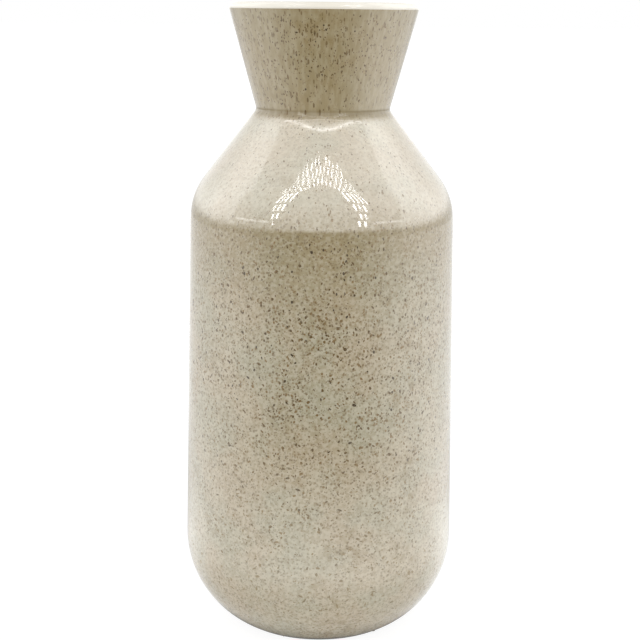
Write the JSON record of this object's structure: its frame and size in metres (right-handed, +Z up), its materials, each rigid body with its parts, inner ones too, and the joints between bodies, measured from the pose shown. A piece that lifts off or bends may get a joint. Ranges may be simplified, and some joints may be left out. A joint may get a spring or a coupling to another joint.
{
  "type": "bottle vase",
  "caption": "Free-standing bottle vase of speckled glazed stoneware: round-bottomed body, sloping shoulder, narrow waist and flared mouth, for holding stems.",
  "frame": {"origin": "on the vase's axis, in the plane of the foot ring", "axes": "+Z up along the axis, from the foot to the mouth; X and Y are any two directions across"},
  "size_m": [0.1108, 0.1108, 0.254],
  "materials": {
    "stoneware": "unglazed, dry",
    "speckled_glaze": "glossy cream-grey with brown flecks",
    "liner_glaze": "glossy cream",
    "base_glaze": "glossy cream-grey with brown flecks"
  },
  "bodies": {
    "root": {"stoneware_body": "stoneware", "speckled_glaze": "speckled_glaze", "liner_glaze": "liner_glaze", "base_glaze": "base_glaze"}
  },
  "joints": []
}
